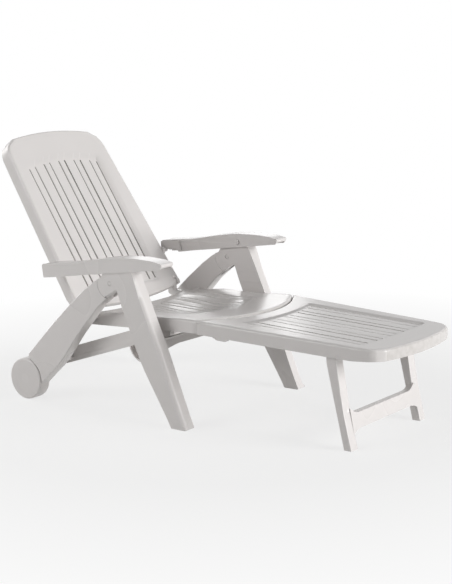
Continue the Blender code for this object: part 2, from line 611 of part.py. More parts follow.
def brace(side):
    """Bar from the rear leg to the underside of the seat, with a bead along its foot."""
    rise = BRACE_HEIGHT * math.sqrt(1 + BRACE_SLOPE ** 2)
    bead = BRACE_BEAD * math.sqrt(1 + BRACE_SLOPE ** 2)
    ceiling = BRACE_FRONT_Z + 0.0145
    meet = (ceiling - brace_low(0) - rise) / BRACE_SLOPE

    def bar(low, high, inner, outer):
        outline = rounded([(BRACE_TAIL_X, brace_low(BRACE_TAIL_X) + low, 0.006),
                           (BRACE_NOSE_X, brace_low(BRACE_NOSE_X) + low, 0.006),
                           (BRACE_NOSE_X, min(ceiling, brace_low(BRACE_NOSE_X) + high), 0.006),
                           (meet if high > bead else BRACE_NOSE_X - 0.010,
                            min(ceiling, brace_low(meet if high > bead else BRACE_NOSE_X - 0.010) + high), 0.05),
                           (BRACE_TAIL_X, brace_low(BRACE_TAIL_X) + high, 0.012)])
        return side_solid(outline, inner, outer, side)
    body = bar(0.0, rise, BRACE_INNER, EAR_OUTER - BEAD_STEP)
    join(body, bar(0.0, bead, BRACE_INNER + BEAD_STEP, EAR_OUTER))
    join(body, rod(BRACE_REAR_X, BRACE_REAR_Z, side, 0.0155, EAR_OUTER - 0.004, LEG_INNER - GAP))
    cut(body, rod(BRACE_REAR_X, BRACE_REAR_Z, side, BRACE_PIN_RADIUS + PIN_GAP,
                  BRACE_INNER - 0.01, LEG_INNER + 0.01))
    cut(body, rod(BRACE_FRONT_X, BRACE_FRONT_Z, side, BRACE_PIN_RADIUS + PIN_GAP,
                  BRACE_INNER - 0.01, EAR_OUTER + 0.01))
    finish_part(body, "brace_" + hand(side))
    headed_pin("brace_rear_pin_" + hand(side), BRACE_REAR_X, BRACE_REAR_Z, side, BRACE_PIN_RADIUS,
               BRACE_INNER - GAP - PIN_HEAD, LEG_INNER + 0.019)
    headed_pin("brace_front_pin_" + hand(side), BRACE_FRONT_X, BRACE_FRONT_Z, side, BRACE_PIN_RADIUS,
               SEAT_HALF_WIDTH + GAP + PIN_HEAD, BRACE_INNER + 0.002)


# Moulded panels

def slot_rims(half):
    """Places of the slots' rims across a field, and which gaps between them are open."""
    rims = []
    open_gaps = set()
    inner = STRIP_WIDTH / 2
    for k in range(SLOT_PAIRS):
        centre = (half - SLOT_MARGIN) * (2 * k / (SLOT_PAIRS - 1) - 1)
        open_gaps.update((len(rims), len(rims) + 2))
        rims += [centre - inner - SLOT_WIDTH, centre - inner, centre + inner, centre + inner + SLOT_WIDTH]
    return rims, open_gaps


def corner_drop(radius, past):
    """How far a rounded corner falls away, at a distance past its tangent point."""
    past = min(max(past, 0.0), radius * 0.9)
    return radius - math.sqrt(radius ** 2 - past ** 2)


def panel_grid(bm, columns, rows, half_width, far_corner):
    """Lay a grid along the rows and columns; its border follows the outline."""
    across = len(columns) + 1
    along = len(rows) - 1
    bmesh.ops.create_grid(bm, x_segments=across, y_segments=along, size=1.0)
    grid = {}
    for vert in bm.verts:
        i = round((vert.co.x + 1) / 2 * across)
        j = round((vert.co.y + 1) / 2 * along)
        row = rows[j]
        if i in (0, across):
            side = -1 if i == 0 else 1
            b = side * half_width(0.0)
            for repeat in range(6):
                a = row(b)
                b = side * half_width(a)
            if j == along and far_corner:
                a, b = far_corner[0], side * far_corner[1]
        elif callable(columns[i - 1]):
            b = columns[i - 1](row(columns[i - 1](0.0)))
            a = row(b)
            b = columns[i - 1](a)
        else:
            b = columns[i - 1]
            a = row(b)
        vert.co = (a, b, 0.0)
        grid[(i, j)] = vert
    return grid, across, along


def open_slots(bm, grid, open_gaps, slot_rows):
    """Remove the cells that are slots."""
    index = {vert: key for key, vert in grid.items()}
    slots = []
    for face in bm.faces:
        i = min(index[vert][0] for vert in face.verts)
        j = min(index[vert][1] for vert in face.verts)
        if i in open_gaps and slot_rows[0] <= j < slot_rows[1]:
            slots.append(face)
    bmesh.ops.delete(bm, geom=slots, context="FACES")


def extrude_open(bm, edges):
    """Extrude open edges in place; give back the new edges and points."""
    result = bmesh.ops.extrude_edge_only(bm, edges=edges)["geom"]
    points = [item for item in result if isinstance(item, bmesh.types.BMVert)]
    fresh = set(points)
    new_edges = [item for item in result if isinstance(item, bmesh.types.BMEdge)
                 and item.verts[0] in fresh and item.verts[1] in fresh]
    return new_edges, points


def rim_and_skirt(bm, loop, height, low_edge):
    """Draw the border in by the fillet, then round it over and run the skirt down."""
    spot = bm.verts.layers.float_vector["outline"]
    outward = bm.verts.layers.float_vector["outward"]
    outline = [vert.co.copy() for vert in loop]
    middle = sum((point.x for point in outline)) / len(outline)
    for k, vert in enumerate(loop):
        before = (outline[k] - outline[k - 1]).normalized()
        after = (outline[(k + 1) % len(loop)] - outline[k]).normalized()
        tangent = (before + after).normalized()
        out = Vector((tangent.y, -tangent.x, 0))
        if out.dot(outline[k] - Vector((middle, 0, 0))) < 0:
            out.negate()
        out /= max(0.7, before.dot(tangent))
        vert[outward] = out
        vert.co = outline[k] - out * PANEL_FILLET
    for vert in bm.verts:
        vert.co.z = height(vert.co.x, vert.co.y)
    for k, vert in enumerate(loop):
        vert[spot] = (outline[k].x, outline[k].y, vert.co.z)
    border = set(loop)
    rim = [edge for edge in bm.edges if edge.is_boundary and set(edge.verts) <= border]
    slots = [edge for edge in bm.edges if edge.is_boundary and not set(edge.verts) <= border]
    for vert in extrude_open(bm, slots)[1]:
        vert.co.z -= SLOT_RIB
    for angle in (math.radians(45), math.radians(90)):
        rim, points = extrude_open(bm, rim)
        for vert in points:
            vert.co = vert[spot] - vert[outward] * PANEL_FILLET * (1 - math.sin(angle))
            vert.co.z -= PANEL_FILLET * (1 - math.cos(angle))
    for vert in extrude_open(bm, rim)[1]:
        vert.co.z = low_edge(vert.co.x, vert.co.y)


def panel(columns, rows, half_width, far_corner, open_gaps, slot_rows, height, low_edge, matrix):
    """Slotted sheet with a rounded rim and a skirt, drawn flat as (along, across, up).

    columns: places across, a number or a function of the distance along, without the
    outline. rows: functions of the place across. far_corner: the middle of the rounded
    corner at the last row. open_gaps and slot_rows: the cells that are slots. height and low_edge: the sheet and the skirt's lower edge above a
    place. matrix: from flat to the chair.
    """
    bm = bmesh.new()
    bm.verts.layers.float_vector.new("outline")
    bm.verts.layers.float_vector.new("outward")
    grid, across, along = panel_grid(bm, columns, rows, half_width, far_corner)
    open_slots(bm, grid, open_gaps, slot_rows)
    loop = [(i, 0) for i in range(across)] + [(across, j) for j in range(along)]
    loop += [(i, along) for i in range(across, 0, -1)] + [(0, j) for j in range(along, 0, -1)]
    rim_and_skirt(bm, [grid[key] for key in loop], height, low_edge)
    bmesh.ops.recalc_face_normals(bm, faces=bm.faces)
    sheet = max(bm.faces, key=lambda face: abs(face.normal.z) * face.calc_area())
    if sheet.normal.z < 0:
        bmesh.ops.reverse_faces(bm, faces=bm.faces)
    bmesh.ops.transform(bm, matrix=matrix, verts=bm.verts)
    if matrix.determinant() < 0:
        bmesh.ops.reverse_faces(bm, faces=bm.faces)
    mesh = bpy.data.meshes.new("panel")
    bm.to_mesh(mesh)
    bm.free()
    obj = bpy.data.objects.new("panel", mesh)
    PARTS.objects.link(obj)
    shell = obj.modifiers.new("wall", "SOLIDIFY")
    shell.thickness = SHEET
    shell.offset = -1.0
    shell.use_even_offset = True
    obj.modifiers.new("flat faces", "TRIANGULATE")
    return obj


def field_columns(half, slope):
    """Columns of a slotted field: its edge, the foot of its step, and the slots' rims."""
    rims, open_gaps = slot_rims(half)
    columns = [-half, slope - half] + rims + [half - slope, half]
    return columns, {gap + 3 for gap in open_gaps}


# Backrest

def back_side(s):
    """Half width of the backrest before its corners are rounded."""
    return BACK_HALF_WIDTH - BACK_TAPER * s


def back_crown(b):
    """Top edge of the backrest before its corners are rounded."""
    return BACK_TOP - BACK_ARCH * b * b


def back_half(s):
    """Half width of the backrest, with its rounded upper corners."""
    return back_side(s) - corner_drop(BACK_CORNER, s - BACK_CORNER_START)


def back_top(b):
    """Top edge of the backrest, with its rounded upper corners."""
    past = abs(b) - (BACK_CORNER_HALF - BACK_CORNER)
    return back_crown(b) - corner_drop(BACK_CORNER, past)


def on_back(s, n):
    """Side view place of a point up the backrest and in front of its plane."""
    point = BACK_DATUM + BACK_UP * s + BACK_FRONT * n
    return point.x, point.z


def backrest():
    """Slatted backrest with hinge knuckles and the two pegs that hold the armrests."""
    columns, open_gaps = field_columns(BACK_FIELD_HALF, BACK_STEP)
    lean = BACK_CORNER * 0.18

    def near_side(s):
        return back_side(s) - BACK_BORDER - lean * smooth((s - BACK_CORNER_START) / BACK_CORNER)

    def near_top(b):
        past = abs(b) - BACK_CORNER_HALF + BACK_CORNER
        return back_crown(b) - BACK_BORDER - lean * smooth(past / BACK_CORNER)
    columns = [lambda s: -near_side(s)] + columns + [near_side]
    open_gaps = {gap + 1 for gap in open_gaps}

    def field_top(b):
        return BACK_FIELD_TOP - BACK_FIELD_ARCH * b * b
    rows = [lambda b: BACK_BOTTOM + BACK_FOOT_ARCH * b * b,
            lambda b: BACK_FIELD_BOTTOM,
            lambda b: BACK_FIELD_BOTTOM + BACK_STEP,
            lambda b: BACK_FIELD_BOTTOM + BACK_STEP * 1.4,
            lambda b: field_top(b) - BACK_STEP * 1.4,
            lambda b: field_top(b) - BACK_STEP,
            field_top,
            lambda b: back_crown(b) - BACK_CORNER,
            near_top,
            back_top]

    def height(s, b):
        low = BACK_FIELD_BOTTOM + BACK_STEP
        high = field_top(b) - BACK_STEP
        inside = abs(b) < BACK_FIELD_HALF - BACK_STEP / 2 and low - BACK_STEP / 2 < s < high + BACK_STEP / 2
        return -BACK_RECESS if inside else 0.0

    def low_edge(s, b):
        return -BACK_SKIRT_LOW - (BACK_SKIRT - BACK_SKIRT_LOW) * smooth((s - BACK_BOTTOM) / 0.10)
    matrix = Matrix.Identity(4)
    for row in range(3):
        matrix[row][0] = BACK_UP[row]
        matrix[row][1] = (0.0, 1.0, 0.0)[row]
        matrix[row][2] = BACK_FRONT[row]
        matrix[row][3] = BACK_DATUM[row]
    corner_b = BACK_CORNER_HALF - CORNER_CUT * BACK_CORNER
    corner = (back_crown(corner_b) - CORNER_CUT * BACK_CORNER, corner_b)
    back = panel(columns, rows, back_half, corner, open_gaps, (3, 4), height, low_edge, matrix)
    wall = back_side(BACK_PIVOT_UP)
    peg_x, peg_z = on_back(PEG_UP, -PEG_IN)
    peg_wall = back_side(PEG_UP)
    for side in (1, -1):
        join(back, rod(BACK_PIVOT_X, BACK_PIVOT_Z, side, EAR_RADIUS, EAR_OUTER, wall - SMALL_ROUND))
        join(back, rod(peg_x, peg_z, side, PEG_BOSS_RADIUS, peg_wall - 0.0087, peg_wall + 0.003))
    for side in (1, -1):
        cut(back, rod(BACK_PIVOT_X, BACK_PIVOT_Z, side, EAR_RADIUS + EAR_CLEAR, EAR_INNER - SIDE_GAP,
                      EAR_OUTER + SIDE_GAP, 20))
        cut(back, rod(BACK_PIVOT_X, BACK_PIVOT_Z, side, BACK_PIN_RADIUS + PIN_GAP,
                      EAR_OUTER, wall + 0.01))
        cut(back, rod(peg_x, peg_z, side, PEG_RADIUS + PIN_GAP, peg_wall - 0.0057, peg_wall + 0.01))
    finish_part(back, "backrest_panel")
    for side in (1, -1):
        headed_pin("backrest_pivot_pin_" + hand(side), BACK_PIVOT_X, BACK_PIVOT_Z, side,
                   BACK_PIN_RADIUS, wall + BACK_TAPER * (BACK_PIN_RADIUS + HEAD_RIM) + GAP + PIN_HEAD,
                   EAR_INNER - 0.002)
        plain_pin("armrest_peg_" + hand(side), peg_x, peg_z, side, PEG_RADIUS,
                  peg_wall - 0.0057 + GAP, RACK_OUTER - GAP)


# Seat

def seat_half(x):
    """Half width of the seat at the station x."""
    front = smooth((x - 0.180) / 0.070) * (SEAT_FRONT_HALF_WIDTH - SEAT_HALF_WIDTH)
    waist = SEAT_WAIST * max(0.0, 1 - ((x - 0.115) / 0.075) ** 2)
    return SEAT_HALF_WIDTH + front - waist


def seat_lip(b):
    """Front edge of the seat."""
    return SEAT_FRONT - (SEAT_FRONT - SEAT_FRONT_SIDE) * (b / SEAT_FRONT_HALF_WIDTH) ** 2


def seat_back(b):
    """Rear edge of the seat, hollowed for the backrest's lower end."""
    return SEAT_REAR - (SEAT_REAR - SEAT_REAR_SIDE) * (b / SEAT_HALF_WIDTH) ** 2


def foot_top(x):
    """Rim height of the footrest at the station x."""
    return FOOT_START_Z - FOOT_SLOPE * (x - SEAT_FRONT_SIDE)


def seat():
    """Dished seat with ears for the backrest and arms for the footrest's hinge."""
    columns, open_gaps = field_columns(SEAT_FIELD_HALF, BACK_STEP)
    columns = [lambda x: SIDE_STRIP - seat_half(x)] + columns + [lambda x: seat_half(x) - SIDE_STRIP]
    open_gaps = {gap + 1 for gap in open_gaps}
    slot_start = SEAT_REAR + SEAT_SLOT_START

    def slot_end(b):
        return SEAT_FRONT - SEAT_SLOT_END - SEAT_SLOT_ARC * (b / SEAT_HALF_WIDTH) ** 2
    rows = [seat_back,
            lambda b: seat_back(b) + 0.022,
            lambda b: slot_start,
            lambda b: slot_start * 0.65 + BRACE_FRONT_X * 0.35,
            lambda b: slot_start * 0.35 + BRACE_FRONT_X * 0.65,
            lambda b: BRACE_FRONT_X,
            lambda b: BRACE_NOSE_X,
            lambda b: slot_end(b),
            lambda b: slot_end(b) + 0.045,
            lambda b: seat_lip(b) - 0.022,
            seat_lip]

    def rim(x):
        rise = SEAT_FRONT_RISE * smooth((x - 0.090) / 0.130)
        return SEAT_TOP + rise - SEAT_REAR_FALL * smooth((-0.040 - x) / 0.160)

    def height(x, b):
        far = math.hypot(b / (SEAT_HALF_WIDTH - SEAT_DISH_SET), (x - SEAT_DISH_X) / SEAT_DISH_REACH)
        lip = LIP_PROUD * smooth((x - SEAT_FRONT_SIDE) / 0.040)
        return rim(x) + lip - SEAT_DISH * smooth(1.3 * (1 - far))

    def low_edge(x, b):
        at_side = abs(b) > seat_half(x) - SIDE_STRIP / 2
        if at_side:
            return SEAT_WALL_LOW + SEAT_WALL_RISE * x
        return height(x, b) - PANEL_FILLET - (LIP_DEPTH - PANEL_FILLET if x > 0 else LIP_DEPTH)
    body = panel(columns, rows, seat_half, None, open_gaps, (2, 7), height, low_edge, Matrix.Identity(4))
    front_wall = seat_half(BRACE_FRONT_X)
    arm_inner = HINGE_ARM_OUTER - HINGE_ARM_THICKNESS
    ear_low = SEAT_WALL_LOW + SEAT_WALL_RISE * SEAT_REAR_SIDE + 0.016
    for side in (1, -1):
        ear = arc(BACK_PIVOT_X, BACK_PIVOT_Z, EAR_RADIUS, 0, 180, 8)
        ear += arc(BACK_PIVOT_X, ear_low + EAR_RADIUS, EAR_RADIUS, 180, 270, 4)
        ear += [(SEAT_REAR_SIDE + 0.085, ear_low), (SEAT_REAR_SIDE + 0.105, rim(SEAT_REAR_SIDE + 0.105) - SHEET / 2),
                (SEAT_REAR_SIDE + 0.015, rim(SEAT_REAR_SIDE) - SHEET / 2),
                (BACK_PIVOT_X + EAR_RADIUS + 0.006, rim(SEAT_REAR_SIDE) - SHEET),
                (BACK_PIVOT_X + EAR_RADIUS, rim(SEAT_REAR_SIDE) + 0.001)]
        join(body, side_solid(ear, EAR_INNER, EAR_OUTER, side))
        join(body, rod(SEAT_PIN_X, SEAT_PIN_Z, side, SEAT_BOSS_RADIUS,
                       SEAT_HALF_WIDTH - SHEET / 2, LEG_INNER - GAP))
        arm = arc(HINGE_X, HINGE_Z, KNUCKLE_RADIUS, 80, -90, 8)
        arm += [(HINGE_X - 0.030, HINGE_Z - KNUCKLE_RADIUS), (HINGE_X - 0.043, HINGE_Z - 0.004),
                (HINGE_X - 0.130, HINGE_Z + 0.0035), (HINGE_X - 0.130, SEAT_TOP + 0.0035),
                (HINGE_X - 0.073, SEAT_TOP + 0.0035), (HINGE_X - 0.065, HINGE_Z + 0.0255),
                (HINGE_X - 0.015, HINGE_Z + 0.0225)]
        join(body, side_solid(arm, arm_inner, HINGE_ARM_OUTER, side))
    for side in (1, -1):
        cut(body, rod(BACK_PIVOT_X, BACK_PIVOT_Z, side, BACK_PIN_RADIUS + PIN_GAP,
                      EAR_INNER - 0.01, EAR_OUTER + 0.01))
        cut(body, rod(SEAT_PIN_X, SEAT_PIN_Z, side, SEAT_PIN_RADIUS + PIN_GAP,
                      EAR_OUTER + SIDE_GAP / 2, LEG_INNER + 0.01))
        cut(body, rod(BRACE_FRONT_X, BRACE_FRONT_Z, side, BRACE_PIN_RADIUS + PIN_GAP,
                      front_wall - 0.012, front_wall + 0.01))
        cut(body, rod(HINGE_X, HINGE_Z, side, HINGE_PIN_RADIUS + PIN_GAP,
                      arm_inner - 0.01, HINGE_ARM_OUTER + 0.01))
    finish_part(body, "seat_panel")
    for side in (1, -1):
        plain_pin("seat_pin_" + hand(side), SEAT_PIN_X, SEAT_PIN_Z, side, SEAT_PIN_RADIUS,
                  SEAT_HALF_WIDTH - SHEET, LEG_INNER + 0.019)
        headed_pin("footrest_hinge_pin_" + hand(side), HINGE_X, HINGE_Z, side, HINGE_PIN_RADIUS,
                   arm_inner - GAP - PIN_HEAD, foot_half(HINGE_X) - SHEET)


# Footrest and its leg frame

def foot_side(x):
    """Half width of the footrest before its far corners are rounded."""
    return SEAT_FRONT_HALF_WIDTH - FOOT_NARROWING * (x - SEAT_FRONT_SIDE)


def foot_crown(b):
    """Far edge of the footrest before its corners are rounded."""
    return FOOT_END - (FOOT_END - FOOT_END_SIDE) * (b / FOOT_END_HALF_WIDTH) ** 2


def foot_half(x):
    """Half width of the footrest, with its rounded far corners."""
    return foot_side(x) - corner_drop(FOOT_CORNER, x - (FOOT_END_SIDE - FOOT_CORNER))


def foot_end(b):
    """Far edge of the footrest, with its rounded corners."""
    return foot_crown(b) - corner_drop(FOOT_CORNER, abs(b) - (FOOT_END_HALF_WIDTH - FOOT_CORNER))


def footrest():
    """Slatted footrest with hinge knuckles and bosses for its leg frame."""
    columns, open_gaps = field_columns(FOOT_FIELD_HALF, FOOT_STEP)
    columns = [lambda x: SIDE_STRIP - foot_side(x)] + columns + [lambda x: foot_side(x) - SIDE_STRIP]
    open_gaps = {gap + 1 for gap in open_gaps}

    def start(b):
        return SEAT_FRONT + FOOT_FIELD_START - FOOT_ARC * b * b

    def end(b):
        return FOOT_END - FOOT_FIELD_END - 0.3 * b * b
    rows = [lambda b: seat_lip(b) + PANEL_GAP,
            lambda b: start(b) - FOOT_STEP,
            start,
            lambda b: start(b) + FOOT_STEP,
            lambda b: end(b) - FOOT_STEP * 2,
            lambda b: end(b) - FOOT_STEP,
            end,
            lambda b: foot_crown(b) - FOOT_CORNER * 0.62,
            foot_end]

    def height(x, b):
        inside = abs(b) < FOOT_FIELD_HALF - FOOT_STEP / 2
        inside = inside and start(b) - FOOT_STEP / 2 < x < end(b) - FOOT_STEP / 2
        return foot_top(x) - (FOOT_RECESS if inside else 0.0)

    def low_edge(x, b):
        at_side = abs(b) > foot_half(x) - SIDE_STRIP / 2
        if at_side or x > FOOT_END - FOOT_FIELD_END:
            taper = smooth((x - FOOT_END + FOOT_WALL_TAPER) / (FOOT_WALL_TAPER - FOOT_END_ARC))
            return foot_top(x) - FOOT_WALL + (FOOT_WALL - FOOT_WALL_END) * taper
        return foot_top(x) - LIP_DEPTH
    corner_b = FOOT_END_HALF_WIDTH - CORNER_CUT * FOOT_CORNER
    corner = (foot_crown(corner_b) - CORNER_CUT * FOOT_CORNER, corner_b)
    body = panel(columns, rows, foot_half, corner, open_gaps, (3, 4), height, low_edge,
                 Matrix.Identity(4))
    hinge_wall = foot_half(HINGE_X) - SHEET / 2
    leg_wall = foot_half(FOOT_LEG_X) - SHEET / 2
    for side in (1, -1):
        lug = arc(HINGE_X, HINGE_Z, KNUCKLE_RADIUS, 100, 270, 8)
        lug += [(HINGE_X + 0.031, HINGE_Z - KNUCKLE_RADIUS - 0.001), (HINGE_X + 0.043, HINGE_Z - 0.005),
                (HINGE_X + 0.043, HINGE_Z + 0.014)]
        join(body, side_solid(lug, HINGE_ARM_OUTER + GAP, hinge_wall, side))
        boss = arc(FOOT_LEG_X, FOOT_LEG_Z, KNUCKLE_RADIUS, 180, 360, 8)
        boss += [(FOOT_LEG_X + KNUCKLE_RADIUS, FOOT_LEG_Z + 0.018),
                 (FOOT_LEG_X - KNUCKLE_RADIUS, FOOT_LEG_Z + 0.018)]
        join(body, side_solid(boss, FOOT_LEG_OUTER + GAP, leg_wall, side))
    for side in (1, -1):
        cut(body, rod(HINGE_X, HINGE_Z, side, HINGE_PIN_RADIUS + PIN_GAP,
                      HINGE_ARM_OUTER - 0.01, foot_half(HINGE_X) - SHEET + GAP))
        cut(body, rod(FOOT_LEG_X, FOOT_LEG_Z, side, FOOT_LEG_PIN_RADIUS + PIN_GAP,
                      FOOT_LEG_OUTER - 0.01, foot_half(FOOT_LEG_X) - SHEET + GAP))
    finish_part(body, "footrest_panel")


def footrest_leg():
    """Leg frame under the far end of the footrest: two legs and a crossbar."""
    top = arc(FOOT_LEG_X, FOOT_LEG_Z, 0.0160, 20, 200, 8)
    heel = FOOT_LEG_TIP_X - FOOT_LEG_WIDTH / 2 + 0.002
    toe = FOOT_LEG_TIP_X + FOOT_LEG_WIDTH / 2 - 0.002
    outline = rounded(top + [(FOOT_LEG_X - 0.019, FOOT_LEG_Z - 0.030, 0.05),
                             (FOOT_LEG_X - 0.001, FOOT_LEG_Z - 0.106, 0.2),
                             (heel, 0.0), (toe, 0.0),
                             (FOOT_LEG_TIP_X - 0.016, FOOT_LEG_Z * 0.4, 0.2),
                             (FOOT_LEG_X + 0.020, FOOT_LEG_Z - 0.030, 0.03)])
    frame = side_solid(outline, FOOT_LEG_INNER, FOOT_LEG_OUTER, 1)
    round_faces(frame, LEG_EDGE_ROUND, 2, lambda middle: 1.0 if middle.z > 0.004 else 0.3)
    other = side_solid(outline, FOOT_LEG_INNER, FOOT_LEG_OUTER, -1)
    round_faces(other, LEG_EDGE_ROUND, 2, lambda middle: 1.0 if middle.z > 0.004 else 0.3)
    half = FOOT_LEG_INNER + LEG_EDGE_ROUND * 1.5
    arch = [(half, CROSSBAR_HIGH + 0.020), (half - 0.030, CROSSBAR_HIGH, 0.05)]
    low = [(half - 0.030, CROSSBAR_LOW, 0.05), (half, CROSSBAR_LOW - 0.012)]
    mirror = [(-arch[1][0], *arch[1][1:]), (-half, arch[0][1]), (-half, low[1][1]),
              (-low[0][0], *low[0][1:])]
    bar = curve_object(rounded(arch + mirror + low))
    bar.data.extrude = CROSSBAR_THICKNESS / 2
    bar.rotation_euler = (math.radians(90), 0, math.radians(90))
    cross = solid_from_curve(bar)
    lean = (FOOT_LEG_TIP_X - FOOT_LEG_X) / FOOT_LEG_Z
    shear = Matrix.Identity(4)
    shear[0][2] = -lean
    cross.data.transform(shear)
    cross.data.transform(Matrix.Translation((FOOT_LEG_TIP_X + 0.0015, 0, 0)))
    join(frame, cross, other)
    for side in (1, -1):
        cut(frame, rod(FOOT_LEG_X, FOOT_LEG_Z, side, FOOT_LEG_PIN_RADIUS + PIN_GAP,
                       FOOT_LEG_INNER - 0.01, FOOT_LEG_OUTER + 0.01))
    finish_part(frame, "footrest_leg_frame")
    for side in (1, -1):
        headed_pin("footrest_leg_pin_" + hand(side), FOOT_LEG_X, FOOT_LEG_Z, side,
                   FOOT_LEG_PIN_RADIUS, FOOT_LEG_INNER - GAP - PIN_HEAD,
                   foot_half(FOOT_LEG_X) - SHEET)


# Armrests

# Each armrest point: forwards and up from its pin, radius
ARM_TOP = [(0.146, 0.0295, 0.10), (0.089, 0.033, 0.3), (0.001, 0.031, 0.3), (-0.071, 0.021, 0.4),
           (-0.145, 0.007, 0.4), (-0.211, -0.006, 0.3), (-0.287, -0.013, 0.3), (-0.360, -0.022, 0.010)]
ARM_BOTTOM = [(-0.353, -0.069, 0.002), (-0.279, -0.060, 0.3), (-0.184, -0.045, 0.3), (-0.109, -0.035, 0.3),
              (-0.036, -0.024, 0.3), (0.036, -0.015, 0.3), (0.145, 0.001, 0.1), (0.170, 0.004, 0.006)]
ARM_TIP = [(0.181, 0.023, 0.006)]


def arm_points(table):
    """Corners of an armrest in the side view."""
    return [(ARM_PIVOT_X + forward, ARM_PIVOT_Z + up, radius) for forward, up, radius in table]


def inset(points, step):
    """Outline moved inwards by the wall, from rounded points in order."""
    count = len(points)
    moved = []
    area = sum(points[k - 1][0] * points[k][1] - points[k][0] * points[k - 1][1] for k in range(count))
    turn = 1 if area > 0 else -1
    for k in range(count):
        before = (Vector(points[k]) - Vector(points[k - 1])).normalized()
        after = (Vector(points[(k + 1) % count]) - Vector(points[k])).normalized()
        tangent = (before + after).normalized()
        normal = Vector((-tangent.y, tangent.x)) * turn
        moved.append(tuple(Vector(points[k]) + normal * step / max(0.5, before.dot(tangent))))
    return moved


def armrest(side):
    """Hollow armrest, open below, with a notched rack inside its rear end."""
    corners = arm_points(ARM_TIP + ARM_TOP + ARM_BOTTOM)
    arm = side_solid(rounded(corners), ARM_INNER, ARM_OUTER, side)
    round_faces(arm, ARM_ROUND, 3, lambda middle: 1.0 if middle.z > arm_middle(middle.x) else 0.12)
    under = [(x, z) for x, z, r in arm_points(ARM_TIP + ARM_TOP)]
    under[0] = (under[0][0] - 0.003, under[0][1])
    roof = inset(under + [(x, z - 0.2) for x, z in reversed(under)], ARM_WALL)
    pocket_inner = ARM_INNER + ARM_WALL
    pocket_outer = ARM_OUTER - ARM_WALL + 0.0002
    peg_x, peg_z = on_back(PEG_UP, -PEG_IN)
    cut(arm, side_solid(roof, pocket_inner, pocket_outer, side))
    plate = [(peg_x + dx, peg_z + dz) for dx, dz in
             ((-0.0135, -0.0118), (-0.0150, 0.0317), (0.0540, 0.0392), (0.0710, 0.0392), (0.0850, 0.0002))]
    join(arm, side_solid(plate, RACK_INNER, RACK_OUTER, side))
    ceiling = peg_z + PEG_RADIUS + GAP
    rear = peg_x - PEG_RADIUS - GAP
    teeth = [(rear, peg_z - 0.022), (rear, ceiling - 0.004), (rear + 0.003, ceiling)]
    for k in range(NOTCH_COUNT):
        start = rear + 0.0125 + k * NOTCH_PITCH
        teeth += [(start, ceiling), (start + NOTCH_PITCH - 0.0015, ceiling - NOTCH_DEPTH),
                  (start + NOTCH_PITCH, ceiling - NOTCH_DEPTH)]
    teeth += [(teeth[-1][0] + 0.020, peg_z - 0.022)]
    cut(arm, side_solid(teeth, RACK_INNER - 0.01, RACK_OUTER + 0.0005, side))
    cut(arm, rod(ARM_PIVOT_X, ARM_PIVOT_Z, side, ARM_PIN_RADIUS + PIN_GAP,
                 ARM_INNER - 0.01, ARM_OUTER - ARM_WALL / 2))
    finish_part(arm, "armrest_" + hand(side))
    headed_pin("armrest_pin_" + hand(side), ARM_PIVOT_X, ARM_PIVOT_Z, side, ARM_PIN_RADIUS,
               ARM_INNER - GAP - PIN_HEAD, ARM_OUTER - ARM_WALL / 2 - GAP)


def arm_middle(x):
    """Height half way up the armrest, to tell its upper edges from its lower ones."""
    return ARM_PIVOT_Z - 0.018 + 0.12 * (x - ARM_PIVOT_X)


# Joints

def pivot(name, x, z, parent):
    """Empty on a joint's cross axis, carried by the axis of the piece that holds it."""
    axis = bpy.data.objects.new(name, None)
    axis.empty_display_size = 0.03
    PARTS.objects.link(axis)
    axis.parent = parent
    axis.location = (x, 0, z)
    if parent:
        axis.location -= place_of(parent)
    return axis


def place_of(axis):
    """Where an axis is in the side view."""
    place = Vector((0, 0, 0))
    while axis:
        place += axis.location
        axis = axis.parent
    return place


def hang(axis, *names):
    """Let an axis carry pieces, which stay where they are."""
    for name in names:
        piece = bpy.data.objects[name]
        piece.parent = axis
        piece.location -= place_of(axis)


def both(*names):
    """The left and the right piece of each name."""
    return [name + "_" + hand(side) for name in names for side in (1, -1)]


def assemble():
    """Put each piece on the axis that it turns about; give back what carries them all."""
    chair = pivot("chair", 0, 0, None)
    hang(chair, "front_stretcher", *both("front_leg", "apex_pin", "armrest_pin"))
    rear = pivot("axis_leg_fold", APEX_X, APEX_Z, chair)
    hang(rear, "seat_panel", *both("rear_leg", "brace", "brace_rear_pin", "brace_front_pin", "seat_pin",
                                   "wheel_axle", "backrest_pivot_pin", "footrest_hinge_pin"))
    back = pivot("axis_recline", BACK_PIVOT_X, BACK_PIVOT_Z, rear)
    hang(back, "backrest_panel", *both("armrest_peg"))
    foot = pivot("axis_footrest_swing", HINGE_X, HINGE_Z, rear)
    hang(foot, "footrest_panel", *both("footrest_leg_pin"))
    leg = pivot("axis_footrest_leg_fold", FOOT_LEG_X, FOOT_LEG_Z, foot)
    hang(leg, "footrest_leg_frame")
    for side in (1, -1):
        lift = pivot("axis_armrest_lift_" + hand(side), ARM_PIVOT_X, ARM_PIVOT_Z, chair)
        hang(lift, "armrest_" + hand(side))
        spin = pivot("axis_wheel_spin_" + hand(side), WHEEL_X, WHEEL_RADIUS, rear)
        hang(spin, "wheel_" + hand(side), "wheel_cap_" + hand(side))
    return chair


def centre_on_floor(chair):
    """Slide the chair along X so that the origin is under its middle."""
    bpy.context.view_layer.update()
    graph = bpy.context.evaluated_depsgraph_get()
    reach = []
    for obj in PARTS.objects:
        if obj.type == "MESH":
            shape = obj.evaluated_get(graph)
            reach += [(shape.matrix_world @ vert.co).x for vert in shape.data.vertices]
    shift = -(min(reach) + max(reach)) / 2
    chair.location.x = shift
    print("shift along X", round(shift, 6))


